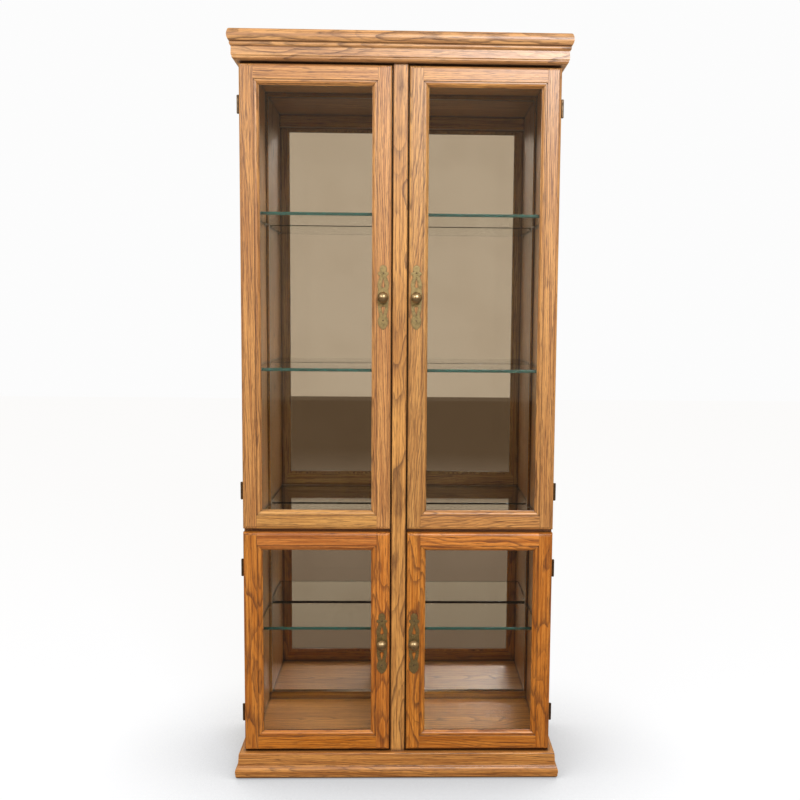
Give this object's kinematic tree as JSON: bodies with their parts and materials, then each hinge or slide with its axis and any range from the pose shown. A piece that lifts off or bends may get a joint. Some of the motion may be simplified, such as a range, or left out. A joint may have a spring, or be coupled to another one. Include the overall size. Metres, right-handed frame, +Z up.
{
  "type": "china cabinet",
  "caption": "Tall oak display cabinet with glazed hinged doors above and below, a mirrored back, glass shelves, and moulded crown and base.",
  "frame": {"origin": "on the floor, under the middle of the outline in width and depth", "axes": "+Z up, -Y out of the front where the doors are, +X to the right of a viewer facing the doors"},
  "size_m": [0.862, 0.3818, 1.93],
  "materials": {
    "oak": "golden oak stain under satin lacquer",
    "back_board": "plain hardboard",
    "clear_glass": "clear polished",
    "shelf_glass": "clear with green ground edges",
    "mirror": "silvered",
    "antique_brass": "antiqued, worn bright on the high spots",
    "dark_bronze": "dark bronze, satin",
    "pin_steel": "nickel plated"
  },
  "bodies": {
    "cabinet": {"back_board": "back_board", "base_front": "oak", "base_left": "oak", "base_right": "oak", "bottom_deck": "oak", "case_hinge_leaves": "dark_bronze", "centre_post": "oak", "crown_front": "oak", "crown_left": "oak", "crown_right": "oak", "glass_deck": "shelf_glass", "hinge_pins": "dark_bronze", "left_side_panel": "oak", "lower_shelf": "shelf_glass", "middle_rail": "oak", "middle_shelf": "shelf_glass", "mirror": "mirror", "mirror_strips": "oak", "right_side_panel": "oak", "shelf_pins": "pin_steel", "top_cover": "oak", "top_panel": "oak", "top_rail": "oak", "top_shelf": "shelf_glass"},
    "upper_left_door": {"upper_left_back_plate": "antique_brass", "upper_left_bottom_rail": "oak", "upper_left_glass": "clear_glass", "upper_left_glass_stops": "oak", "upper_left_hinge_leaves": "dark_bronze", "upper_left_hinge_stile": "oak", "upper_left_knob": "antique_brass", "upper_left_latch_stile": "oak", "upper_left_top_rail": "oak"},
    "upper_right_door": {"upper_right_back_plate": "antique_brass", "upper_right_bottom_rail": "oak", "upper_right_glass": "clear_glass", "upper_right_glass_stops": "oak", "upper_right_hinge_leaves": "dark_bronze", "upper_right_hinge_stile": "oak", "upper_right_knob": "antique_brass", "upper_right_latch_stile": "oak", "upper_right_top_rail": "oak"},
    "lower_left_door": {"lower_left_back_plate": "antique_brass", "lower_left_bottom_rail": "oak", "lower_left_glass": "clear_glass", "lower_left_glass_stops": "oak", "lower_left_hinge_leaves": "dark_bronze", "lower_left_hinge_stile": "oak", "lower_left_knob": "antique_brass", "lower_left_latch_stile": "oak", "lower_left_top_rail": "oak"},
    "lower_right_door": {"lower_right_back_plate": "antique_brass", "lower_right_bottom_rail": "oak", "lower_right_glass": "clear_glass", "lower_right_glass_stops": "oak", "lower_right_hinge_leaves": "dark_bronze", "lower_right_hinge_stile": "oak", "lower_right_knob": "antique_brass", "lower_right_latch_stile": "oak", "lower_right_top_rail": "oak"}
  },
  "joints": [
    {"name": "upper_left_door_hinge", "type": "hinge", "parent": "cabinet", "child": "upper_left_door", "pos_m": [-0.4105, -0.1439, 1.261], "axis": [0, 0, -1], "range_deg": [0, 180]},
    {"name": "upper_right_door_hinge", "type": "hinge", "parent": "cabinet", "child": "upper_right_door", "pos_m": [0.4105, -0.1439, 1.261], "axis": [0, 0, 1], "range_deg": [0, 180]},
    {"name": "lower_left_door_hinge", "type": "hinge", "parent": "cabinet", "child": "lower_left_door", "pos_m": [-0.4105, -0.1439, 0.36575], "axis": [0, 0, -1], "range_deg": [0, 180]},
    {"name": "lower_right_door_hinge", "type": "hinge", "parent": "cabinet", "child": "lower_right_door", "pos_m": [0.4105, -0.1439, 0.36575], "axis": [0, 0, 1], "range_deg": [0, 180]}
  ]
}
